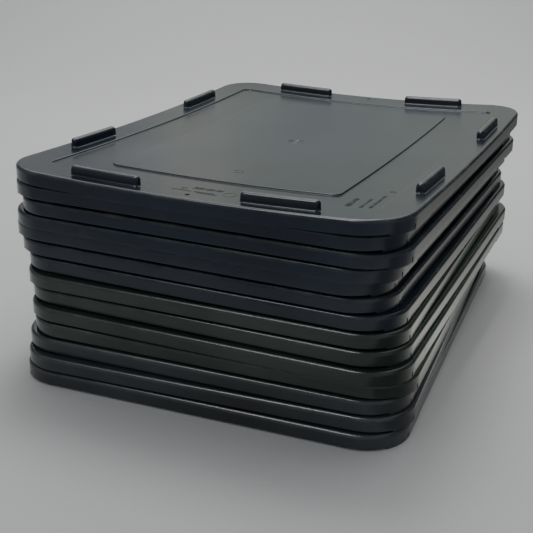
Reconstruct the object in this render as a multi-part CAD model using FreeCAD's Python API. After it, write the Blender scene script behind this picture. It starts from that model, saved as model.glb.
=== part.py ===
import FreeCAD, Part

import math
import os

# A loose stack of identical flat tote lids.
# Millimetres. +Z is up, the long side of a lid runs along Y, and the origin is
# at the floor, under the middle of the whole stack.

# Outside of one lid
LID_WIDTH = 444.5
LID_LENGTH = 571.5
CORNER_RADIUS = 51.0
EDGE_ROUND = 3.6

# Skirt that hangs round the edge of a lid
SKIRT_DEPTH = 14.8
SKIRT_WALL = 2.3
INNER_CORNER_RADIUS = CORNER_RADIUS - SKIRT_WALL

# Top plate: flat rim, sunk ring inside it, raised panel in the middle
PLATE_THICKNESS = 2.5
RING_DROP = 1.8
RING_INSET_X = 36.0
RING_INSET_Y = 43.2
RING_CORNER_RADIUS = 9.0
PANEL_INSET_X = 88.5
PANEL_INSET_Y = 81.0
PANEL_CORNER_RADIUS = 10.0

# Deeper lengths of the skirt: the feet a lid stands on. Each starts on the curve
# of a corner and runs along the long side.
LAYER_PITCH = 17.0
LAYER_GAP = 0.3
FOOT_DEPTH = LAYER_PITCH - LAYER_GAP
FOOT_START = 15.0
FOOT_END = 92.0
FOOT_REACH_IN = 30.0

# Relief slot cut up into each foot, where the corner curve ends
SLOT_START = 42.6
SLOT_WIDTH = 2.4
SLOT_HEIGHT = 4.2

# Raised stacking ridges on the rim, two to a side
RIDGE_HEIGHT = 10.2
RIDGE_WIDTH = 9.5
RIDGE_ROUND = 4.2
SHORT_SIDE_RIDGE_SPAN = (56.2, 138.5)
SHORT_SIDE_RIDGE_INSET = 19.5
LONG_SIDE_RIDGE_SPAN = (88.2, 172.4)
LONG_SIDE_RIDGE_INSET = 17.5

# Small round tie holes at the middle of each short side
TIE_HOLE_RADIUS = 2.5
TIE_HOLE_INSET = 15.5

# Moulding gate mark in the middle of the panel: a shallow dish with a nub in it
GATE_RADIUS = 9.5
GATE_DEPTH = 0.5
GATE_NUB_RADIUS = 2.2

# How each lid lies, lowest first: shift in X, shift in Y, turn in degrees,
# all counted from the top lid.
LAY = (
    (-8.5, -4.2, 3.45),
    (-10.1, -1.8, 4.5),
    (-9.2, 5.2, 3.15),
    (-4.2, 9.3, 3.05),
    (-0.2, 5.8, 1.3),
    (-2.7, 14.2, 0.75),
    (-9.4, 14.6, 1.6),
    (-9.1, 20.4, 0.5),
    (-16.8, 21.1, 0.25),
    (-22.0, 20.9, 0.15),
    (-12.7, 11.1, 0.15),
    (-3.4, 10.3, 0.15),
    (-9.3, 9.9, 0.0),
    (0.0, 0.0, 0.0),
)

HALF_WIDTH = LID_WIDTH / 2
HALF_LENGTH = LID_LENGTH / 2


def rounded_slab(half_x, half_y, radius, bottom, top):
    """A flat slab with rounded corners, centred on the Z axis."""
    flat_x = half_x - radius
    flat_y = half_y - radius
    corners = (
        (flat_x, -flat_y, -90),
        (flat_x, flat_y, 0),
        (-flat_x, flat_y, 90),
        (-flat_x, -flat_y, 180),
    )
    edges = []
    for x, y, start in corners:
        centre = FreeCAD.Vector(x, y, bottom)
        up = FreeCAD.Vector(0, 0, 1)
        arc = Part.makeCircle(radius, centre, up, start, start + 90)
        if edges:
            edges.append(Part.makeLine(edges[-1].lastVertex().Point, arc.firstVertex().Point))
        edges.append(arc)
    edges.append(Part.makeLine(edges[-1].lastVertex().Point, edges[0].firstVertex().Point))
    face = Part.Face(Part.Wire(edges))
    return face.extrude(FreeCAD.Vector(0, 0, top - bottom))


def edges_at_height(shape, height):
    """The edges that lie wholly at one height."""
    found = []
    for edge in shape.Edges:
        box = edge.BoundBox
        if abs(box.ZMin - height) < 1e-4 and abs(box.ZMax - height) < 1e-4:
            found.append(edge)
    return found


def block(x_low, x_high, y_low, y_high, z_low, z_high):
    """A plain box given by its limits."""
    corner = FreeCAD.Vector(x_low, y_low, z_low)
    return Part.makeBox(x_high - x_low, y_high - y_low, z_high - z_low, corner)


def ridge(x, y, length, along_y):
    """A round-ended stacking ridge standing on the rim."""
    half_long = length / 2
    half_wide = RIDGE_WIDTH / 2
    half_x, half_y = (half_wide, half_long) if along_y else (half_long, half_wide)
    root = -PLATE_THICKNESS / 2
    body = rounded_slab(half_x, half_y, half_wide - 0.05, root, RIDGE_HEIGHT)
    body = body.makeFillet(RIDGE_ROUND, edges_at_height(body, RIDGE_HEIGHT))
    body.translate(FreeCAD.Vector(x, y, 0))
    return body


def make_lid():
    """One lid, with the top of its rim at height zero."""
    shell = rounded_slab(HALF_WIDTH, HALF_LENGTH, CORNER_RADIUS, -SKIRT_DEPTH, 0)
    shell = shell.makeFillet(EDGE_ROUND, edges_at_height(shell, 0))

    # Hollow underside, left thicker where the ring is sunk
    hollow = rounded_slab(
        HALF_WIDTH - SKIRT_WALL,
        HALF_LENGTH - SKIRT_WALL,
        INNER_CORNER_RADIUS,
        -SKIRT_DEPTH - 1,
        -PLATE_THICKNESS,
    )
    ring_x = HALF_WIDTH - RING_INSET_X
    ring_y = HALF_LENGTH - RING_INSET_Y
    panel_x = HALF_WIDTH - PANEL_INSET_X
    panel_y = HALF_LENGTH - PANEL_INSET_Y
    grow = PLATE_THICKNESS
    ring_under = rounded_slab(
        ring_x + grow,
        ring_y + grow,
        RING_CORNER_RADIUS + grow,
        -PLATE_THICKNESS - RING_DROP,
        -PLATE_THICKNESS + 1,
    )
    panel_under = rounded_slab(
        panel_x - grow,
        panel_y - grow,
        PANEL_CORNER_RADIUS - grow,
        -PLATE_THICKNESS - RING_DROP - 1,
        -PLATE_THICKNESS + 2,
    )
    hollow = hollow.cut(ring_under.cut(panel_under))
    lid = shell.cut(hollow)

    # Sunk ring on top, round the raised middle panel
    ring = rounded_slab(ring_x, ring_y, RING_CORNER_RADIUS, -RING_DROP, 1)
    panel = rounded_slab(panel_x, panel_y, PANEL_CORNER_RADIUS, -RING_DROP - 1, 2)
    lid = lid.cut(ring.cut(panel))

    # Feet and their relief slots, two on each long side
    outer = rounded_slab(HALF_WIDTH, HALF_LENGTH, CORNER_RADIUS, -FOOT_DEPTH, -SKIRT_DEPTH + 1)
    inner = rounded_slab(
        HALF_WIDTH - SKIRT_WALL,
        HALF_LENGTH - SKIRT_WALL,
        INNER_CORNER_RADIUS,
        -FOOT_DEPTH - 1,
        -SKIRT_DEPTH + 2,
    )
    band = outer.cut(inner)
    for side in (-1, 1):
        across = sorted((side * (HALF_WIDTH - FOOT_REACH_IN), side * (HALF_WIDTH + 1)))
        for end in (-1, 1):
            reach = sorted((end * (HALF_LENGTH - FOOT_START), end * (HALF_LENGTH - FOOT_END)))
            foot = band.common(block(*across, *reach, -FOOT_DEPTH - 1, 0))
            lid = lid.fuse(foot)
            slot_far = HALF_LENGTH - SLOT_START - SLOT_WIDTH
            gap = sorted((end * (HALF_LENGTH - SLOT_START), end * slot_far))
            lid = lid.cut(block(*across, *gap, -FOOT_DEPTH - 1, -SKIRT_DEPTH + SLOT_HEIGHT))

    # Stacking ridges
    near, far = SHORT_SIDE_RIDGE_SPAN
    for x_side in (-1, 1):
        for y_side in (-1, 1):
            y = y_side * (HALF_LENGTH - SHORT_SIDE_RIDGE_INSET)
            lid = lid.fuse(ridge(x_side * (near + far) / 2, y, far - near, False))
    near, far = LONG_SIDE_RIDGE_SPAN
    for x_side in (-1, 1):
        for y_side in (-1, 1):
            x = x_side * (HALF_WIDTH - LONG_SIDE_RIDGE_INSET)
            lid = lid.fuse(ridge(x, y_side * (near + far) / 2, far - near, True))

    # Tie holes and gate mark
    for end in (-1, 1):
        base = FreeCAD.Vector(0, end * (HALF_LENGTH - TIE_HOLE_INSET), -PLATE_THICKNESS - 1)
        lid = lid.cut(Part.makeCylinder(TIE_HOLE_RADIUS, PLATE_THICKNESS + 2, base))
    gate_floor = FreeCAD.Vector(0, 0, -GATE_DEPTH)
    dish = Part.makeCylinder(GATE_RADIUS, GATE_DEPTH + 1, gate_floor)
    nub = Part.makeCylinder(GATE_NUB_RADIUS, GATE_DEPTH + 1, gate_floor)
    lid = lid.cut(dish.cut(nub))
    return lid.removeSplitter()


def half_spread(turn):
    """Half the room a turned lid takes up along X and along Y."""
    angle = math.radians(abs(turn))
    flat_x = HALF_WIDTH - CORNER_RADIUS
    flat_y = HALF_LENGTH - CORNER_RADIUS
    spread_x = flat_x * math.cos(angle) + flat_y * math.sin(angle) + CORNER_RADIUS
    spread_y = flat_y * math.cos(angle) + flat_x * math.sin(angle) + CORNER_RADIUS
    return spread_x, spread_y


# Middle of the room taken up by the whole stack
lows_x = [x - half_spread(turn)[0] for x, y, turn in LAY]
highs_x = [x + half_spread(turn)[0] for x, y, turn in LAY]
lows_y = [y - half_spread(turn)[1] for x, y, turn in LAY]
highs_y = [y + half_spread(turn)[1] for x, y, turn in LAY]
middle_x = (min(lows_x) + max(highs_x)) / 2
middle_y = (min(lows_y) + max(highs_y)) / 2

os.makedirs("parts", exist_ok=True)
lid = make_lid()
for layer, (shift_x, shift_y, turn) in enumerate(LAY):
    placed = lid.copy()
    placed.rotate(FreeCAD.Vector(0, 0, 0), FreeCAD.Vector(0, 0, 1), turn)
    height = FOOT_DEPTH + layer * LAYER_PITCH
    placed.translate(FreeCAD.Vector(shift_x - middle_x, shift_y - middle_y, height))
    placed.exportStep("parts/lid_%02d.step" % (layer + 1))

print("lid volume cm3", round(lid.Volume / 1000, 1), "solids", len(lid.Solids), "valid", lid.isValid())
print("stack middle relative to the top lid", round(middle_x, 3), round(middle_y, 3))
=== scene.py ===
# %% [markdown]
# # A loose stack of flat tote lids
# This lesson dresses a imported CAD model. The CAD says where every lid lies, so the script starts
# by loading it as a fixed frame, and everything made later is placed from that frame.

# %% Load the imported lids
import math
import random

import bmesh
import bpy
import numpy as np
from mathutils import Matrix, Vector


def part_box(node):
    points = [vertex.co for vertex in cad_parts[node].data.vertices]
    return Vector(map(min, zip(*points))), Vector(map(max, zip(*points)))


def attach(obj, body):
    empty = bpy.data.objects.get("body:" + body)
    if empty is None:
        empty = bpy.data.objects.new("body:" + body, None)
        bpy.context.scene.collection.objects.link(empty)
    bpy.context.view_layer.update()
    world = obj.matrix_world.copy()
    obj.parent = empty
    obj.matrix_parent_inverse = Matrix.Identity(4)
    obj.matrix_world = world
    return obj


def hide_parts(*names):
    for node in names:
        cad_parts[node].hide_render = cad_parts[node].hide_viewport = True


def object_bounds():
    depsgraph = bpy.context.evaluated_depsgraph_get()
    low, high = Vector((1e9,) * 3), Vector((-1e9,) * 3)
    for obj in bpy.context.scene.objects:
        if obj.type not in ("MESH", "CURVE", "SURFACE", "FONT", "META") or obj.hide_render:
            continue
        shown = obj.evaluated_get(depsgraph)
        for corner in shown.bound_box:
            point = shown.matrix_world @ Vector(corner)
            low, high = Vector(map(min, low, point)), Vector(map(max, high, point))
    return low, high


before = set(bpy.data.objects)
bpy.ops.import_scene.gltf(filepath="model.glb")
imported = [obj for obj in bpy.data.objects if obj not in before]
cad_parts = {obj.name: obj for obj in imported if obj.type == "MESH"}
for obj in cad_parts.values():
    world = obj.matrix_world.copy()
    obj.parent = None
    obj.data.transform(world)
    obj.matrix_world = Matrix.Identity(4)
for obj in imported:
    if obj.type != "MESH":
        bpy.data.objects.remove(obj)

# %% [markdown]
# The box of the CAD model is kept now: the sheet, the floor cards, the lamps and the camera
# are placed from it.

MM = 0.001
cad_low, cad_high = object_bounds()
print("CAD box", [round(v, 4) for v in cad_low], [round(v, 4) for v in cad_high])

# %% [markdown]
# A real lid of this kind is one injection moulding: a thin plate with a skirt round its edge.
# These are the few sizes that everything else follows from. They are the sizes of the CAD lid,
# in millimetres, counted from the top of the rim at height zero.

# %% Sizes of one lid
LID_WIDTH = 444.5
LID_LENGTH = 571.5
CORNER_RADIUS = 51.0
EDGE_ROUND = 3.6
SKIRT_DEPTH = 14.8
SKIRT_WALL = 2.3
PLATE = 2.5
RING_DROP = 1.8
RING_INSET = (36.0, 43.2)
RING_CORNER = 9.0
PANEL_INSET = (88.5, 81.0)
PANEL_CORNER = 10.0
FOOT_DEPTH = 16.7
FOOT_SPAN = (15.0, 92.0)
SLOT_START = 42.6
SLOT_WIDTH = 2.4
SLOT_HEIGHT = 4.2
RIDGE_HEIGHT = 10.2
RIDGE_WIDTH = 9.5
TIE_HOLE_RADIUS = 2.5
TIE_HOLE_INSET = 15.5
GATE_RADIUS = 9.5
GATE_DEPTH = 0.9

HALF_WIDTH = LID_WIDTH / 2
HALF_LENGTH = LID_LENGTH / 2
lid_names = sorted(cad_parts)
print("lids", len(lid_names), "from", lid_names[0], "to", lid_names[-1])

# %% [markdown]
# Each lid in the stack is shifted and turned a little. Its middle is the middle of its CAD box.
# Its turn is found as a carpenter would find it with two rulers: turn the lid back by a trial
# angle and keep the angle at which it fits the smallest box.

# %% Find where each lid lies
TRIAL_LIMIT = 8.0
TRIAL_STEP = 0.05


def lid_turn(node):
    """The turn about Z, in degrees, at which a CAD lid fits the smallest box."""
    points = np.array([v.co[:2] for v in node.data.vertices])
    points = points - (points.max(0) + points.min(0)) / 2
    best_area, best_turn = None, 0.0
    for turn in np.arange(-TRIAL_LIMIT, TRIAL_LIMIT, TRIAL_STEP):
        c, s = math.cos(math.radians(turn)), math.sin(math.radians(turn))
        back = points @ np.array([[c, -s], [s, c]])
        area = float(np.prod(back.max(0) - back.min(0)))
        if best_area is None or area < best_area:
            best_area, best_turn = area, float(turn)
    return best_turn


places = {}
for name in lid_names:
    low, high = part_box(name)
    middle = (low + high) / 2
    rim_height = high.z - RIDGE_HEIGHT * MM
    turn = lid_turn(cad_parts[name])
    places[name] = (Vector((middle.x, middle.y, rim_height)), turn)
    print(name, [round(v / MM, 1) for v in places[name][0]], "turned", round(turn, 2))

# %% [markdown]
# A moulding with rounded corners can be built like a stack of rubber bands: closed loops with
# the same number of points, each a little further in or higher than the last, with four-sided
# faces between neighbours. A subdivided box would also do, but loops give exact corner radii
# and let the edges that matter get their own small rounding.

# %% Loops with rounded corners
CORNER_STEPS = 18
STEPS_X = 22
STEPS_Y = 28


def rounded_loop(half_x, half_y, radius):
    """Points of a rectangle with rounded corners, anticlockwise from the front right corner."""
    flat_x, flat_y = half_x - radius, half_y - radius
    corners = ((flat_x, -flat_y, -90), (flat_x, flat_y, 0),
               (-flat_x, flat_y, 90), (-flat_x, -flat_y, 180))
    points = []
    for number, (x, y, start) in enumerate(corners):
        for step in range(CORNER_STEPS + 1):
            angle = math.radians(start + 90 * step / CORNER_STEPS)
            points.append((x + radius * math.cos(angle), y + radius * math.sin(angle)))
        next_x, next_y, next_start = corners[(number + 1) % 4]
        angle = math.radians(next_start)
        goal = (next_x + radius * math.cos(angle), next_y + radius * math.sin(angle))
        steps = STEPS_Y if number % 2 == 0 else STEPS_X
        first = points[-1]
        for step in range(1, steps):
            share = step / steps
            x = first[0] + (goal[0] - first[0]) * share
            y = first[1] + (goal[1] - first[1]) * share
            points.append((x, y))
    return points


def skin(name, loops):
    """A closed mesh, in millimetres, through (points, height) loops, capped at both ends."""
    mesh = bmesh.new()
    rings = []
    for points, height in loops:
        rings.append([mesh.verts.new((x, y, height)) for x, y in points])
    for lower, upper in zip(rings, rings[1:]):
        count = len(lower)
        for i in range(count):
            j = (i + 1) % count
            mesh.faces.new((lower[i], lower[j], upper[j], upper[i]))
    mesh.faces.new(list(reversed(rings[0])))
    mesh.faces.new(rings[-1])
    bmesh.ops.recalc_face_normals(mesh, faces=mesh.faces)
    data = bpy.data.meshes.new(name)
    mesh.to_mesh(data)
    mesh.free()
    return data


print("points in one loop", len(rounded_loop(100, 200, 20)))

# %% [markdown]
# The section through a lid goes from the middle of its underside out to the skirt, round the
# bottom edge of the skirt, up the outside, over the rounded top edge and back in across the
# rim, the sunk ring and the raised panel. Each step has a small radius at its top and its
# foot, because a mould never makes a perfectly sharp edge, and those radii catch the light.

# %% The section of a lid
STEP_ROWS = ((-1.2, 0.0), (-0.7, 0.07), (-0.3, 0.26), (-0.05, 0.58),
             (0.05, 1.0), (0.2, 1.4), (0.5, 1.68), (1.0, RING_DROP))
RIM_ROWS = ((0.45, 34.0), (0.75, 24.0))
PANEL_SHARES = (0.88, 0.74, 0.6, 0.46, 0.33, 0.21, 0.1)
PANEL_LOOP_CORNER = 8.0
ROUND_STEPS = 8


def plate_stations(height, grow):
    """Loops from the rim's inner part to the middle of the panel, for one face of the plate.
    grow moves both steps outwards or inwards, so that the plate keeps its thickness."""
    ring_x, ring_y = (inset - grow for inset in RING_INSET)
    panel_x, panel_y = (inset + grow for inset in PANEL_INSET)
    drop = height - RING_DROP
    ring_corner = RING_CORNER + grow
    panel_corner = max(PANEL_CORNER - grow, 4.0)
    rows = [(share * ring_x, share * ring_y, corner, height) for share, corner in RIM_ROWS]
    rows += [(ring_x - 3.0, ring_y - 3.0, ring_corner + 3.0, height)]
    for out, down in STEP_ROWS:
        rows += [(ring_x + out, ring_y + out, ring_corner - out, height - down)]
    rows += [(ring_x + 4.0, ring_y + 4.0, ring_corner - 2.0, drop)]
    for share in (0.35, 0.7):
        x = ring_x + (panel_x - ring_x) * share
        y = ring_y + (panel_y - ring_y) * share
        rows += [(x, y, ring_corner, drop)]
    rows += [(panel_x - 3.0, panel_y - 3.0, panel_corner + 3.0, drop)]
    for out, down in reversed(STEP_ROWS):
        rows += [(panel_x - out, panel_y - out, panel_corner + out, height - down)]
    rows += [(panel_x + 4.0, panel_y + 4.0, panel_corner - 2.0, height)]
    for inset_x, inset_y, radius, z in rows:
        yield HALF_WIDTH - inset_x, HALF_LENGTH - inset_y, radius, z
    half_x, half_y = HALF_WIDTH - panel_x, HALF_LENGTH - panel_y
    for share in PANEL_SHARES:
        yield half_x * share, half_y * share, PANEL_LOOP_CORNER * share, height


def skirt_loop(inset, z):
    """The outline of the lid, moved in by inset, at one height."""
    half_x, half_y = HALF_WIDTH - inset, HALF_LENGTH - inset
    return rounded_loop(half_x, half_y, CORNER_RADIUS - inset), z


def shell_loops():
    """All loops of the lid, from the middle of the underside to the middle of the top."""
    loops = []
    for half_x, half_y, radius, z in reversed(list(plate_stations(-PLATE, PLATE))):
        loops.append((rounded_loop(half_x, half_y, radius), z))
    inner = ((SKIRT_WALL + 3.0, -PLATE), (SKIRT_WALL + 0.7, -PLATE),
             (SKIRT_WALL + 0.15, -PLATE - 0.4), (SKIRT_WALL, -PLATE - 1.2),
             (SKIRT_WALL, -9.0), (SKIRT_WALL, -SKIRT_DEPTH + 0.6))
    bottom = ((SKIRT_WALL - 0.2, -SKIRT_DEPTH + 0.15), (SKIRT_WALL - 0.6, -SKIRT_DEPTH),
              (0.6, -SKIRT_DEPTH), (0.18, -SKIRT_DEPTH + 0.15), (0.0, -SKIRT_DEPTH + 0.6))
    outer = ((0.0, -11.0), (0.0, -7.5), (0.0, -EDGE_ROUND - 0.4))
    for inset, z in inner + bottom + outer:
        loops.append(skirt_loop(inset, z))
    for step in range(ROUND_STEPS + 1):
        angle = math.radians(90 * step / ROUND_STEPS)
        inset = EDGE_ROUND * (1 - math.cos(angle))
        loops.append(skirt_loop(inset, -EDGE_ROUND * (1 - math.sin(angle))))
    loops.append(skirt_loop(EDGE_ROUND + 0.6, 0.0))
    for half_x, half_y, radius, z in plate_stations(0.0, 0.0):
        loops.append((rounded_loop(half_x, half_y, radius), z))
    return loops


shell = skin("lid_shell", shell_loops())
print("shell faces", len(shell.polygons))

# %% [markdown]
# The rim carries eight stacking ridges, two to a side. They keep the next tote or lid from
# sliding off. Each is a long rounded bar with round ends, a soft top edge and a small flare
# where it grows out of the plate. It is made of loops too, shaped like a running track.

# %% Stacking ridges
END_STEPS = 20
BAR_STEPS = 14
SHORT_SIDE_RIDGES = (56.2, 138.5, 19.5)
LONG_SIDE_RIDGES = (88.2, 172.4, 17.5)
RIDGE_TOP_ROUND = 4.2
RIDGE_FLARE = ((-2.2, -0.6), (-1.7, 0.04), (-1.0, 0.2), (-0.45, 0.55),
               (-0.12, 1.15), (0.0, 1.9), (0.08, 4.0))


def track_loop(half_long, half_wide):
    """Points of a bar along Y with round ends."""
    straight = half_long - half_wide
    points = []
    for side in (1, -1):
        for step in range(BAR_STEPS):
            y = side * straight * (2 * step / BAR_STEPS - 1)
            points.append((side * half_wide, y))
        for step in range(END_STEPS):
            angle = math.radians(180 * step / END_STEPS)
            x, y = half_wide * math.cos(angle), straight + half_wide * math.sin(angle)
            points.append((side * x, side * y))
    return points


def ridge_rows():
    """How far the ridge stands in from its full width, at each height."""
    rows = list(RIDGE_FLARE)
    for step in range(10):
        angle = math.radians(88 * step / 9)
        inset = 0.15 + RIDGE_TOP_ROUND * (1 - math.cos(angle))
        rows.append((inset, RIDGE_HEIGHT - RIDGE_TOP_ROUND * (1 - math.sin(angle))))
    rows.append((RIDGE_WIDTH / 2 - 0.25, RIDGE_HEIGHT))
    return rows


def ridge(name, x, y, length, along_y):
    """One stacking ridge, standing on the rim."""
    loops = []
    for inset, z in ridge_rows():
        points = track_loop(length / 2 - inset, RIDGE_WIDTH / 2 - inset)
        if not along_y:
            points = [(py, -px) for px, py in points]
        loops.append(([(x + px, y + py) for px, py in points], z))
    return skin(name, loops)


ridges = []
for x_side in (-1, 1):
    for y_side in (-1, 1):
        near, far, inset = SHORT_SIDE_RIDGES
        x = x_side * (near + far) / 2
        ridges.append(ridge("ridge", x, y_side * (HALF_LENGTH - inset), far - near, False))
        near, far, inset = LONG_SIDE_RIDGES
        y = y_side * (near + far) / 2
        ridges.append(ridge("ridge", x_side * (HALF_WIDTH - inset), y, far - near, True))
print("ridges", len(ridges))

# %% [markdown]
# A lid stands on four deeper lengths of its skirt. Each starts on a corner curve and runs on
# along the long side, with a narrow relief slot where the curve ends. The foot is a bent strip
# with eased edges, and a plain block loop serves for the slots and for the marks further on.

# %% Feet and small blocks
def block(name, x_span, y_span, z_span, ease):
    """A block with eased edges, given by its limits."""
    middle_x, middle_y = sum(x_span) / 2, sum(y_span) / 2
    half_x, half_y = (x_span[1] - x_span[0]) / 2, (y_span[1] - y_span[0]) / 2
    loops = []
    rows = ((ease, z_span[0]), (ease * 0.3, z_span[0] + ease * 0.3), (0.0, z_span[0] + ease),
            (0.0, z_span[1] - ease), (ease * 0.3, z_span[1] - ease * 0.3), (ease, z_span[1]))
    for inset, z in rows:
        points = []
        for corner_x, corner_y, start in ((1, -1, -90), (1, 1, 0), (-1, 1, 90), (-1, -1, 180)):
            for step in range(4):
                angle = math.radians(start + 30 * step)
                px = corner_x * (half_x - ease) + (ease - inset + 0.001) * math.cos(angle)
                py = corner_y * (half_y - ease) + (ease - inset + 0.001) * math.sin(angle)
                points.append((middle_x + px, middle_y + py))
        loops.append((points, z))
    return skin(name, loops)


def wall_path(inset, start, stop):
    """Points along the skirt, from the corner curve onto the straight side, a given way in."""
    radius = CORNER_RADIUS - inset
    centre_y = HALF_LENGTH - CORNER_RADIUS
    first = math.asin((CORNER_RADIUS - start) / CORNER_RADIUS)
    points = []
    for step in range(13):
        angle = first * (1 - step / 12)
        x = HALF_WIDTH - CORNER_RADIUS + radius * math.cos(angle)
        points.append((x, centre_y + radius * math.sin(angle)))
    points.append((HALF_WIDTH - inset, HALF_LENGTH - stop))
    return points


def foot(name, x_side, y_side):
    """A deeper length of skirt that follows the corner and then the long side."""
    start, stop = FOOT_SPAN
    loops = []
    rows = ((0.45, -FOOT_DEPTH), (0.14, -FOOT_DEPTH + 0.14),
            (0.02, -FOOT_DEPTH + 0.5), (0.02, -SKIRT_DEPTH + 1.5))
    for ease, z in rows:
        outside = wall_path(ease, start + ease, stop - ease)
        inside = wall_path(SKIRT_WALL - ease, start + ease, stop - ease)
        points = outside + list(reversed(inside))
        loops.append(([(x * x_side, y * y_side) for x, y in points], z))
    return skin(name, loops)


SLOT_EASE = 0.3
CUT_PAST = 1.5

feet = []
slots = []
slot_far = HALF_LENGTH - SLOT_START - SLOT_WIDTH
slot_tall = (-FOOT_DEPTH - 1, -SKIRT_DEPTH + SLOT_HEIGHT)
for side in (-1, 1):
    inside = side * (HALF_WIDTH - SKIRT_WALL - CUT_PAST)
    through = sorted((inside, side * (HALF_WIDTH + CUT_PAST)))
    for end in (-1, 1):
        feet.append(foot("foot", side, end))
        gap = sorted((end * (HALF_LENGTH - SLOT_START), end * slot_far))
        slots.append(block("slot", through, gap, slot_tall, SLOT_EASE))
print("feet", len(feet), "slots", len(slots))

# %% [markdown]
# Moulded lids carry small raised marks. Here they are plain: a row of tally strokes over thin
# bars, with a small and a larger ring, across the front rim and its step, three rows of strokes
# with a small ring in the sunk ring near the front right corner, and one ring on the panel.
# They say nothing, but they break up the smooth plate in the same way as real ones do.

# %% Raised marks
MARK_RISE = 0.28
MARK_ROOT = -0.4
STEP_ROOT = -2.1
MARK_EASE = 0.14
BAR_WIDTH = 1.2
SHORT_STROKE = 0.7
WORD_GAP = 0.8
RING_STEPS = 40
random.seed(11)


def stroke_row(x, y, groups, along_y, tall, wide, pitch, span):
    """A row of short strokes in groups. Each stroke runs across the row."""
    found = []
    at = 0.0
    for group in groups:
        for _ in range(group):
            height = tall * random.choice((1.0, 1.0, SHORT_STROKE))
            spans = ((x - height / 2, x + height / 2), (y + at, y + at + wide))
            if not along_y:
                spans = ((x + at, x + at + wide), (y - height / 2, y + height / 2))
            found.append(block("mark", *spans, span, MARK_EASE))
            at += pitch
        at += pitch * WORD_GAP
    return found


def tube_ring(name, x, y, radius, surface):
    """A raised ring on the rim, the panel or the sunk ring, at the height of that surface."""
    mesh = bmesh.new()
    low = MARK_RISE - 0.1
    around = ((0.0, MARK_RISE), (0.5, low), (0.6, MARK_ROOT), (-0.6, MARK_ROOT), (-0.5, low))
    rings = []
    for i in range(RING_STEPS):
        angle = 2 * math.pi * i / RING_STEPS
        row = []
        for off, z in around:
            px = x + (radius + off) * math.cos(angle)
            py = y + (radius + off) * math.sin(angle)
            row.append(mesh.verts.new((px, py, surface + z)))
        rings.append(row)
    for i in range(RING_STEPS):
        a, b = rings[i], rings[(i + 1) % RING_STEPS]
        for j in range(len(around)):
            k = (j + 1) % len(around)
            mesh.faces.new((a[j], a[k], b[k], b[j]))
    bmesh.ops.recalc_face_normals(mesh, faces=mesh.faces)
    data = bpy.data.meshes.new(name)
    mesh.to_mesh(data)
    mesh.free()
    return data


front = -HALF_LENGTH
right = HALF_WIDTH
on_rim = (STEP_ROOT, MARK_RISE)
in_ring = (MARK_ROOT - RING_DROP, MARK_RISE - RING_DROP)
marks = stroke_row(-7.0, front + 43.0, (5, 4, 3), False, 7.5, 1.1, 2.4, on_rim)
for x_span, y_from in (((0.0, 22.0), 29.5), ((3.5, 26.0), 26.5), ((-25.0, -4.5), 29.0)):
    y_span = (front + y_from, front + y_from + BAR_WIDTH)
    marks.append(block("mark", x_span, y_span, (MARK_ROOT, MARK_RISE), MARK_EASE))
marks.append(tube_ring("mark", -15.0, front + 36.5, 3.2, 0.0))
marks.append(tube_ring("mark", 37.0, front + 35.0, 7.0, 0.0))
marks += stroke_row(right - 69.5, front + 51.0, (5, 6), True, 5.6, 1.0, 2.7, in_ring)
marks += stroke_row(right - 56.0, front + 50.5, (4, 2, 5), True, 3.6, 0.7, 2.75, in_ring)
marks += stroke_row(right - 47.0, front + 51.5, (4, 3, 5, 4), True, 3.6, 0.7, 2.7, in_ring)
marks.append(tube_ring("mark", right - 45.5, front + 118.5, 2.6, -RING_DROP))
marks.append(tube_ring("mark", 1.0, front + 126.5, 5.5, 0.0))
print("raised marks", len(marks))

# %% [markdown]
# The separate solids now become one moulding. Boolean modifiers do this as a moulder thinks of
# it: add the ridges, feet and marks to the shell, then take away the slots, the tie holes and
# the gate mark. Where cuts nearly meet they leave hair-thin faces, and a short clean-up removes
# those. The result is one closed mesh, which each lid later takes a copy of.

# %% Join everything into one moulding
SLIVER = 0.003
HOLE_STEPS = 32
GATE_STEPS = 36


def circle(x, y, radius, steps):
    """Points round a circle."""
    points = []
    for step in range(steps):
        angle = 2 * math.pi * step / steps
        points.append((x + radius * math.cos(angle), y + radius * math.sin(angle)))
    return points


def round_cutter(name, x, y, radius, z_low, z_high):
    """A short round plug, used to cut a hole."""
    points = circle(x, y, radius, HOLE_STEPS)
    return skin(name, ((points, z_low), (points, z_high)))


def gate_cutter(name):
    """A turned plug that cuts a shallow dish and leaves a small nub in its middle."""
    rows = ((GATE_RADIUS + 0.5, 2.0), (GATE_RADIUS + 0.5, 0.02), (GATE_RADIUS + 0.1, -0.06),
            (GATE_RADIUS - 0.2, -0.5), (GATE_RADIUS - 0.9, -GATE_DEPTH),
            (6.5, -0.9 * GATE_DEPTH), (3.4, -0.7 * GATE_DEPTH), (2.7, -0.3),
            (2.25, 0.08), (1.7, 0.3), (0.3, 0.38))
    return skin(name, [(circle(0, 0, radius, GATE_STEPS), z) for radius, z in rows])


def gathered(name, meshes):
    """One object that holds several separate meshes."""
    joined = bmesh.new()
    for mesh in meshes:
        joined.from_mesh(mesh)
    data = bpy.data.meshes.new(name)
    joined.to_mesh(data)
    joined.free()
    thing = bpy.data.objects.new(name, data)
    bpy.context.scene.collection.objects.link(thing)
    return thing


def combined(base, other, operation):
    """Adds other to base or cuts it away, and keeps the result as the mesh of base."""
    modifier = base.modifiers.new("combine", "BOOLEAN")
    modifier.operation = operation
    modifier.solver = "EXACT"
    modifier.object = other
    graph = bpy.context.evaluated_depsgraph_get()
    result = bpy.data.meshes.new_from_object(base.evaluated_get(graph))
    base.modifiers.remove(modifier)
    base.data = result


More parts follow.
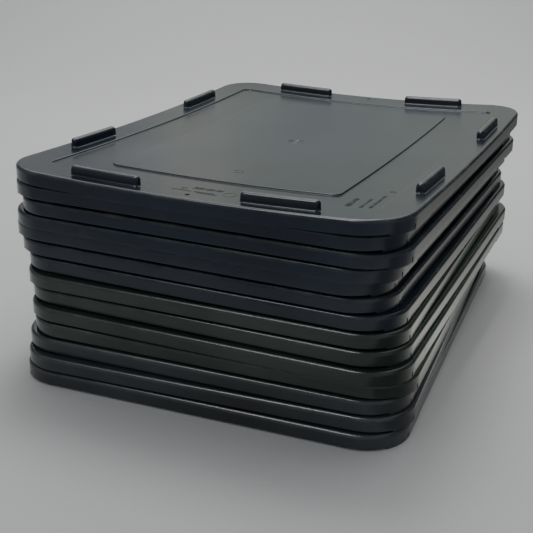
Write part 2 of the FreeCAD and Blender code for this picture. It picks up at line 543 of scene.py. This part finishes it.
def cleaned(thing):
    """Merges doubled points and dissolves the slivers that cutting leaves behind."""
    mesh = bmesh.new()
    mesh.from_mesh(thing.data)
    bmesh.ops.remove_doubles(mesh, verts=mesh.verts, dist=SLIVER)
    bmesh.ops.dissolve_degenerate(mesh, edges=mesh.edges, dist=SLIVER)
    bmesh.ops.connect_verts_concave(mesh, faces=mesh.faces)
    many = [face for face in mesh.faces if len(face.verts) > 4]
    bmesh.ops.triangulate(mesh, faces=many)
    bmesh.ops.dissolve_degenerate(mesh, edges=mesh.edges, dist=SLIVER)
    print("open edges", sum(1 for edge in mesh.edges if len(edge.link_faces) != 2))
    mesh.to_mesh(thing.data)
    mesh.free()


holes = []
for end in (-1, 1):
    y = end * (HALF_LENGTH - TIE_HOLE_INSET)
    holes.append(round_cutter("hole", 0, y, TIE_HOLE_RADIUS, -PLATE - 2, 2))
holes.append(gate_cutter("gate"))

moulding = gathered("moulding", [shell])
added = gathered("added", ridges + feet + marks)
taken = gathered("taken", slots + holes)
combined(moulding, added, "UNION")
combined(moulding, taken, "DIFFERENCE")
cleaned(moulding)
for helper in (added, taken):
    bpy.data.objects.remove(helper)
print("moulding faces", len(moulding.data.polygons))

# %% [markdown]
# Plastic polishes pale where it rubs: along the rounded edge and on the ridge tops. The mesh
# stores this as a number at each point, so the material can use it later. The same cell scales
# the moulding from millimetres to metres and marks its sharp edges.

# %% Rubbed edges and smooth shading
RUB_MIDDLE = 1.0
RUB_REACH = 2.6
RUB_TOP = 2.2
SHARP_ANGLE = math.radians(38)


def rub_amount(x, y, z):
    """How much a point of the lid is rubbed, from 0 to 1."""
    across = abs(x) - (HALF_WIDTH - CORNER_RADIUS)
    along = abs(y) - (HALF_LENGTH - CORNER_RADIUS)
    if across > 0 and along > 0:
        inset = CORNER_RADIUS - math.hypot(across, along)
    else:
        inset = min(HALF_WIDTH - abs(x), HALF_LENGTH - abs(y))
    edge = top = 0.0
    if -EDGE_ROUND < z < 0.2:
        edge = max(0.0, 1 - abs(inset - RUB_MIDDLE) / RUB_REACH)
    if z > 1:
        top = max(0.0, (z - RIDGE_HEIGHT + RUB_TOP) / RUB_TOP)
    return max(edge, top)


lid_mesh = moulding.data
rub = lid_mesh.attributes.new("rub", "FLOAT", "POINT")
rub.data.foreach_set("value", [rub_amount(*v.co) for v in lid_mesh.vertices])
lid_mesh.transform(Matrix.Scale(MM, 4))
for polygon in lid_mesh.polygons:
    polygon.use_smooth = True
lid_mesh.set_sharp_from_angle(angle=SHARP_ANGLE)
bpy.data.objects.remove(moulding)
print("rubbed points", sum(1 for item in rub.data if item.value > 0.5))

# %% [markdown]
# Writing shader maths as node trees by hand is slow, so a small class wraps a socket and turns
# Python operators into Math nodes. Any other node comes from one method that takes its type,
# its settings and the values or links of its sockets.

# %% Shader helper
class Sock:
    """One output socket of a shader tree, which can be added, multiplied and so on."""

    def __init__(self, tree, socket):
        self.tree = tree
        self.socket = socket

    def math(self, operation, first, second):
        settings = {"operation": operation}
        return node(self.tree, "ShaderNodeMath", settings, {0: first, 1: second})[0]

    def __add__(self, other):
        return self.math("ADD", self, other)

    def __sub__(self, other):
        return self.math("SUBTRACT", self, other)

    def __rsub__(self, other):
        return self.math("SUBTRACT", other, self)

    def __mul__(self, other):
        return self.math("MULTIPLY", self, other)

    __radd__ = __add__
    __rmul__ = __mul__


def node(tree, kind, settings, values):
    """Adds a node and returns its outputs. Values are numbers, colours or sockets."""
    made = tree.nodes.new(kind)
    for key, value in settings.items():
        if key == "stops":
            ramp = made.color_ramp
            for stop, (place, shade) in zip(list(ramp.elements) + [None] * len(value), value):
                stop = stop or ramp.elements.new(place)
                stop.position = place
                stop.color = (shade, shade, shade, 1)
        else:
            setattr(made, key, value)
    for key, value in values.items():
        if isinstance(value, Sock):
            tree.links.new(value.socket, made.inputs[key])
        else:
            made.inputs[key].default_value = value
    return [Sock(tree, out) for out in made.outputs]


print("shader helper ready")

# %% [markdown]
# The lids are moulded in dark, half-glossy plastic. Up close it has a fine grain, long faint
# scratches from sliding over other lids, paler rubbed edges, a little dust and a faint uneven
# film. Some mouldings look slightly blue and some slightly green, so the plastic takes a tint;
# the green-black and black tints of the lower lids are also made paler as painted light, for
# the bright floor that those lids mirror. Everything that varies feeds only colour, roughness
# and the bump, and the gloss is a plain number on the shader.

# %% Dark moulded plastic
LIGHT_GREY = (0.16, 0.165, 0.16, 1)
DARKER = 0.72
LIGHTER = 1.3
BUMP_HEIGHT = 0.00012
PLASTIC_IOR = 1.47
COLOUR_MIX = {"data_type": "RGBA"}


def lid_plastic(name, tint, seed):
    """Half-glossy dark plastic in one tint."""
    material = bpy.data.materials.new(name)
    material.use_nodes = True
    tree = material.node_tree
    shader = next(n for n in tree.nodes if n.type == "BSDF_PRINCIPLED")
    place = node(tree, "ShaderNodeTexCoord", {}, {})[3]

    def noise(scale, detail, roughness, where):
        settings = {"noise_dimensions": "4D"}
        values = {"Vector": where, "W": seed, "Scale": scale}
        values.update({"Detail": detail, "Roughness": roughness})
        return node(tree, "ShaderNodeTexNoise", settings, values)[0]

    def ramp(value, stops):
        return node(tree, "ShaderNodeValToRGB", {"stops": stops}, {0: value})[0]

    def stretched(x, y, z, turn):
        values = {"Vector": place, "Rotation": (0, 0, math.radians(turn)), "Scale": (x, y, z)}
        return node(tree, "ShaderNodeMapping", {}, values)[0]

    cloud = noise(7, 3, 0.5, place)
    grain = noise(900, 2, 0.6, place)
    speck = ramp(noise(420, 2, 0.5, place), ((0.66, 0), (0.78, 1)))
    long_marks = ramp(noise(26, 2, 0.4, stretched(1, 0.03, 1, 12)), ((0.66, 0), (0.72, 1)))
    cross_marks = ramp(noise(30, 2, 0.4, stretched(0.03, 1, 1, -20)), ((0.68, 0), (0.73, 1)))
    scratch = long_marks + cross_marks
    rubbed = node(tree, "ShaderNodeAttribute", {"attribute_name": "rub"}, {})[2]
    patchy = rubbed * ramp(noise(38, 4, 0.6, place), ((0.38, 0), (0.68, 1)))

    dark = tuple(v * DARKER for v in tint) + (1,)
    light = tuple(v * LIGHTER for v in tint) + (1,)
    cloudy = ramp(cloud, ((0.35, 0), (0.68, 1)))
    base = node(tree, "ShaderNodeMix", COLOUR_MIX, {0: cloudy, 6: dark, 7: light})[2]
    film = ramp(noise(5, 4, 0.6, stretched(1, 0.45, 1, 35)), ((0.42, 0), (0.72, 1)))
    pale = patchy * 0.22 + scratch * 0.03 + speck * 0.05 + film * 0.11
    colour = node(tree, "ShaderNodeMix", COLOUR_MIX, {0: pale, 6: base, 7: LIGHT_GREY})[2]
    tree.links.new(colour.socket, shader.inputs["Base Color"])

    rough = cloud * 0.08 + 0.12 + scratch * 0.06 + patchy * 0.1 + grain * 0.04 + film * 0.07
    tree.links.new(rough.socket, shader.inputs["Roughness"])
    height = grain * 0.5 + noise(160, 3, 0.5, place) * 0.5
    values = {"Strength": 0.35, "Distance": BUMP_HEIGHT, "Height": height}
    bump = node(tree, "ShaderNodeBump", {}, values)[0]
    tree.links.new(bump.socket, shader.inputs["Normal"])
    shader.inputs["IOR"].default_value = PLASTIC_IOR
    return material


# Painted light: the green-black and black tints are paler than the blue-black one, to stand in for
# the bright floor that the lower lids mirror.
tints_and_painted_light = [
    lid_plastic("plastic_blue_black", (0.009, 0.0155, 0.027), 1.0),
    lid_plastic("plastic_green_black_painted_paler", (0.024, 0.036, 0.031), 2.0),
    lid_plastic("plastic_black_painted_paler", (0.032, 0.038, 0.043), 3.0),
]
print("tints_and_painted_light", [m.name for m in tints_and_painted_light])

# %% [markdown]
# Thin plastic lids are never quite flat: the corners lift a little and the middle sags. The top
# lid, with nothing on it, is bowed most, and the lowest one lies flat. Each of the others gets
# its own small warp, as a sum of simple curves, that stays inside the space between it and its
# neighbours. The four numbers of a bow lift the long edges, the short edges, the corners, and
# the back corners more than the front ones. Then each lid takes its place in the stack, stands
# in for its CAD node and rides on its body.

# %% Warp and place the lids
FLAT_BOW = (0.0, 0.0, 0.0, 0.0)
TOP_SAG = -8.56
TOP_BOW = (6.8, 6.35, 0.8, 1.0)
SAG_SHARE = -0.36
# Which tint each lid takes, from the lowest up; the paler tints on the lowest lids are painted
# light.
TINT_ORDER_WITH_PAINTED_LIGHT = (2, 2, 2, 1, 1, 1, 1, 0, 0, 0, 0, 0, 0, 0)
random.seed(5)


def warped(name, sag, bow):
    """A copy of the moulding, in metres, with a sagging middle and lifted corners."""
    data = lid_mesh.copy()
    data.name = name
    points = np.zeros(len(data.vertices) * 3, np.float32)
    data.vertices.foreach_get("co", points)
    points = points.reshape(-1, 3)
    across = points[:, 0] / (HALF_WIDTH * MM)
    along = points[:, 1] / (HALF_LENGTH * MM)
    bend = sag + bow[0] * across ** 2 + bow[1] * along ** 2
    bend += (bow[2] + bow[3] * along) * across ** 2 * along ** 2
    points[:, 2] += bend * MM
    data.vertices.foreach_set("co", points.ravel())
    data.update()
    return data


for number, name in enumerate(lid_names):
    lift = random.uniform(0.1, 0.5)
    sag, bow = SAG_SHARE * lift, (0.0, 0.0, lift, 0.0)
    if number == 0:
        sag, bow = 0.0, FLAT_BOW
    if number == len(lid_names) - 1:
        sag, bow = TOP_SAG, TOP_BOW
    data = warped("moulded_" + name, sag, bow)
    lid = bpy.data.objects.new("moulded_" + name, data)
    bpy.context.scene.collection.objects.link(lid)
    spot, turn = places[name]
    data.transform(Matrix.Translation(spot) @ Matrix.Rotation(math.radians(turn), 4, "Z"))
    weighted = lid.modifiers.new("even_shading", "WEIGHTED_NORMAL")
    weighted.keep_sharp = True
    weighted.weight = 100
    data.materials.clear()
    data.materials.append(tints_and_painted_light[TINT_ORDER_WITH_PAINTED_LIGHT[number]])
    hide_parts(name)
    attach(lid, name)
print("placed", len(lid_names), "lids")

# %% [markdown]
# The stack stands on a pale sheet that curves up behind it, as in a product studio, so there is
# no hard line between the floor and the wall. One mesh strip swept along a curve does this.

# %% Pale sheet under and behind the stack
SHEET_HALF_WIDTH = 6.0
SHEET_FRONT = -5.0
SHEET_BACK = 2.6
SHEET_RISE = 1.2
SHEET_TOP = 5.0
SHEET_TURN = math.radians(24)


def sheet_profile():
    """The side view of the sheet: along the floor, round a curve and up the wall."""
    rows = [(SHEET_FRONT, 0.0), (SHEET_BACK - SHEET_RISE, 0.0)]
    for step in range(1, 25):
        angle = math.radians(90 * step / 24)
        y = SHEET_BACK - SHEET_RISE + SHEET_RISE * math.sin(angle)
        rows.append((y, SHEET_RISE * (1 - math.cos(angle))))
    rows.append((SHEET_BACK, SHEET_TOP))
    return rows


mesh = bmesh.new()
strips = []
for y, z in sheet_profile():
    strips.append([mesh.verts.new((x, y, z)) for x in (-SHEET_HALF_WIDTH, SHEET_HALF_WIDTH)])
for a, b in zip(strips, strips[1:]):
    mesh.faces.new((a[0], a[1], b[1], b[0]))
sheet_data = bpy.data.meshes.new("pale_sheet")
mesh.to_mesh(sheet_data)
mesh.free()
for polygon in sheet_data.polygons:
    polygon.use_smooth = True
sheet = bpy.data.objects.new("pale_sheet", sheet_data)
sheet.rotation_euler = (0, 0, SHEET_TURN)
sheet.location = (0, 0, cad_low[2])
bpy.context.scene.collection.objects.link(sheet)
print("sheet faces", len(sheet_data.polygons))

# %% [markdown]
# The sheet is matt paper with a very faint mottle. Its colour is painted a little darker with
# distance from the stack, as painted shade for the light of the room falling off. A node that
# measures the distance from the middle and a smooth range from near to far are enough for that.

# %% Matt paper for the sheet
PAPER_DARK = (0.53, 0.533, 0.535, 1)
PAPER_LIGHT = (0.57, 0.573, 0.575, 1)
PAPER_FAR_SHADE = (0.47, 0.475, 0.475, 1)
PAPER_NEAR_AT = 1.3
PAPER_FAR_AT = 2.9
SMOOTH = {"interpolation_type": "SMOOTHSTEP"}


def matt_paper(name):
    """Pale matt paper with painted shade that darkens it slowly away from the middle."""
    paper = bpy.data.materials.new(name)
    paper.use_nodes = True
    tree = paper.node_tree
    shader = next(n for n in tree.nodes if n.type == "BSDF_PRINCIPLED")
    place = node(tree, "ShaderNodeTexCoord", {}, {})[3]
    values = {"Vector": place, "Scale": 260, "Detail": 3}
    mottle = node(tree, "ShaderNodeTexNoise", {}, values)[0]
    values = {0: mottle, 6: PAPER_DARK, 7: PAPER_LIGHT}
    colour = node(tree, "ShaderNodeMix", COLOUR_MIX, values)[2]
    # Painted shade: the paper colour turns greyer with distance from the middle.
    reach = node(tree, "ShaderNodeVectorMath", {"operation": "LENGTH"}, {0: place})[1]
    values = {0: reach, 1: PAPER_NEAR_AT, 2: PAPER_FAR_AT}
    far = node(tree, "ShaderNodeMapRange", SMOOTH, values)[0]
    colour = node(tree, "ShaderNodeMix", COLOUR_MIX, {0: far, 6: colour, 7: PAPER_FAR_SHADE})[2]
    tree.links.new(colour.socket, shader.inputs["Base Color"])
    shader.inputs["Roughness"].default_value = 0.75
    shader.inputs["Specular IOR Level"].default_value = 0.2
    return paper


sheet_data.materials.append(matt_paper("pale_paper"))
print("sheet finish", sheet_data.materials[0].name)

# %% [markdown]
# The light is soft and comes from above and behind, so the near faces stay dark while the top
# plates mirror the bright wall. A large soft box makes the soft shadow, and a small strong one
# inside it draws the thin highlights along the rounded edges. A third box over the front shows
# only as a reflection in the near edges. A grey world fills in.

# %% Studio light
WORLD_COLOUR = (0.79, 0.81, 0.83, 1)
WORLD_STRENGTH = 0.5


def soft_box(name, place, aim, size, power, colour):
    """A square area light that faces a point."""
    data = bpy.data.lights.new(name, "AREA")
    data.shape = "SQUARE"
    data.size = size
    data.energy = power
    data.color = colour
    lamp = bpy.data.objects.new(name, data)
    lamp.location = place
    lamp.rotation_euler = (Vector(aim) - Vector(place)).to_track_quat("-Z", "Y").to_euler()
    bpy.context.scene.collection.objects.link(lamp)
    return lamp


middle = Vector([(a + b) / 2 for a, b in zip(cad_low, cad_high)])
soft_box("wide_box", (-0.4, 1.1, 2.1), middle, 3.0, 44, (1.0, 0.995, 0.97))
soft_box("small_box", (-0.35, 0.75, 2.3), middle, 0.8, 16, (0.97, 0.99, 1.0))
front_box = soft_box("front_box", (-0.47, -0.95, 2.3), middle, 1.05, 29, (1.0, 1.0, 1.0))
front_box.visible_diffuse = False
world = bpy.data.worlds.new("studio_room")
world.use_nodes = True
background = next(n for n in world.node_tree.nodes if n.type == "BACKGROUND")
background.inputs["Color"].default_value = WORLD_COLOUR
background.inputs["Strength"].default_value = WORLD_STRENGTH
bpy.context.scene.world = world

# %% [markdown]
# Dark gloss shows what stands round it, so photographers shape it with cards. Here a card is one
# flat face that only reflections can see. It takes a plain dark finish, and a glow can be given
# to it as one colour or as a pattern.

# %% A reflection card
CARD_GREY = (0.05, 0.055, 0.05, 1)


def card(name, corners):
    """A flat dark card that only reflections can see. Returns its tree and its shader."""
    data = bpy.data.meshes.new(name)
    data.from_pydata(corners, [], [(0, 1, 2, 3)])
    thing = bpy.data.objects.new(name, data)
    thing.visible_camera = False
    thing.visible_diffuse = False
    thing.visible_shadow = False
    thing.visible_transmission = False
    bpy.context.scene.collection.objects.link(thing)
    material = bpy.data.materials.new(name)
    material.use_nodes = True
    shader = next(n for n in material.node_tree.nodes if n.type == "BSDF_PRINCIPLED")
    shader.inputs["Base Color"].default_value = CARD_GREY
    shader.inputs["Roughness"].default_value = 0.9
    data.materials.append(material)
    return material.node_tree, shader


def glowing(tree, shader, colour, strength):
    """Gives a card its glow: one colour, or a pattern of colours from a socket."""
    if isinstance(colour, Sock):
        tree.links.new(colour.socket, shader.inputs["Emission Color"])
    else:
        shader.inputs["Emission Color"].default_value = colour
    shader.inputs["Emission Strength"].default_value = strength


low = cad_low[2] + 0.002
print("cards on the floor lie at", round(low, 4))

# %% [markdown]
# A bright card on the floor to the right lights the long skirts from below. It fades away from
# the stack and towards the back, so the far skirts are darker than the near ones.

# %% Bright card on the right
GLOW_STRENGTH = 1.15
GLOW_FADE = 0.28
GLOW_LEAST = 0.1
GLOW_TINT = (1.0, 0.985, 0.92, 1)

edge = cad_high[0] + 0.012
glow_corners = ((edge, -0.4, low), (1.0, -0.4, low), (1.0, 1.8, low), (edge, 1.8, low))
glow_tree, glow_shader = card("bright_card", glow_corners)
spot = node(glow_tree, "ShaderNodeTexCoord", {}, {})[3]
spot_x, spot_y = node(glow_tree, "ShaderNodeSeparateXYZ", {}, {0: spot})[:2]
rise = node(glow_tree, "ShaderNodeMapRange", SMOOTH, {0: spot_y, 1: -0.28, 2: 0.05})[0]
values = {0: spot_x, 1: 0.36, 2: 0.75, 3: 1.0, 4: 0.0}
beside = node(glow_tree, "ShaderNodeMapRange", SMOOTH, values)[0]
exponent = spot_y * (-1 / GLOW_FADE)
tail = exponent.math("POWER", math.e, exponent)
tail = tail.math("MINIMUM", tail, 1.0)
amount = rise * beside * (tail * (1 - GLOW_LEAST) + GLOW_LEAST)
values = {0: amount, 6: (0, 0, 0, 1), 7: GLOW_TINT}
glow = node(glow_tree, "ShaderNodeMix", COLOUR_MIX, values)[2]
glowing(glow_tree, glow_shader, glow, GLOW_STRENGTH)
print("bright card starts", round(edge - cad_high[0], 3), "m from the stack")

# %% [markdown]
# A dark flag behind the bright card keeps the rounded edges of the skirts dark. A dim bluish
# card on the floor in front keeps the upper front skirts dark. The top plate mirrors what is far
# behind it: a softly clouded card, between a dim green and a warm white.

# %% Dark flag, front card and back card
FRONT_TINT = (0.75, 0.81, 1.0, 1)
FRONT_STRENGTH = 0.31
BACK_DIM = (0.58, 0.64, 0.61, 1)
BACK_TINT = (1.0, 0.99, 0.79, 1)
BACK_STRENGTH = 0.62
BACK_Y = 2.15

card("dark_flag", ((0.42, 1.9, 0.02), (2.4, -0.6, 0.02), (2.4, -0.6, 1.8), (0.42, 1.9, 1.8)))

front_corners = ((-3.0, -3.0, low), (1.6, -3.0, low), (1.6, -0.62, low), (-3.0, -0.62, low))
glowing(*card("front_card", front_corners), FRONT_TINT, FRONT_STRENGTH)

back_corners = ((-1.9, BACK_Y, 0.3), (1.2, BACK_Y, 0.3), (1.2, BACK_Y, 1.9), (-1.9, BACK_Y, 1.9))
back_tree, back_shader = card("back_card", back_corners)
back_spot = node(back_tree, "ShaderNodeTexCoord", {}, {})[3]
values = {"Vector": back_spot, "Rotation": (0, math.radians(30), 0), "Scale": (1, 1, 2.2)}
streaks = node(back_tree, "ShaderNodeMapping", {}, values)[0]
values = {"Vector": streaks, "Scale": 1.3, "Detail": 2}
cloud = node(back_tree, "ShaderNodeTexNoise", {}, values)[0]
spread = node(back_tree, "ShaderNodeMapRange", SMOOTH, {0: cloud, 1: 0.36, 2: 0.64})[0]
values = {0: spread, 6: BACK_DIM, 7: BACK_TINT}
sheen = node(back_tree, "ShaderNodeMix", COLOUR_MIX, values)[2]
glowing(back_tree, back_shader, sheen, BACK_STRENGTH)

# %% [markdown]
# The camera looks down on the front right corner of the stack. Its place is worked out from two
# angles and a distance, which is easier to adjust than three coordinates.

# %% Camera
CAMERA_SIDE = math.radians(24.62)
CAMERA_RISE = math.radians(21.23)
CAMERA_TILT = math.radians(0.607)
CAMERA_DISTANCE = 1.25
CAMERA_LENS = 62.98
AIM_OFFSET = Vector((-0.0404, 0.0236, -0.0768))

camera_data = bpy.data.cameras.new("camera")
camera_data.lens = CAMERA_LENS
camera_data.sensor_width = 36
camera = bpy.data.objects.new("camera", camera_data)
away = Vector((math.sin(CAMERA_SIDE) * math.cos(CAMERA_RISE),
               -math.cos(CAMERA_SIDE) * math.cos(CAMERA_RISE),
               math.sin(CAMERA_RISE)))
aim = middle + AIM_OFFSET
facing = (-away).to_track_quat("-Z", "Y").to_matrix().to_4x4()
tilt = Matrix.Rotation(CAMERA_TILT, 4, "Z")
camera.matrix_world = Matrix.Translation(aim + away * CAMERA_DISTANCE) @ facing @ tilt
bpy.context.scene.collection.objects.link(camera)
bpy.context.scene.camera = camera
print("camera at", [round(v, 3) for v in camera.matrix_world.translation])

# %% Update the scene
bpy.context.view_layer.update()
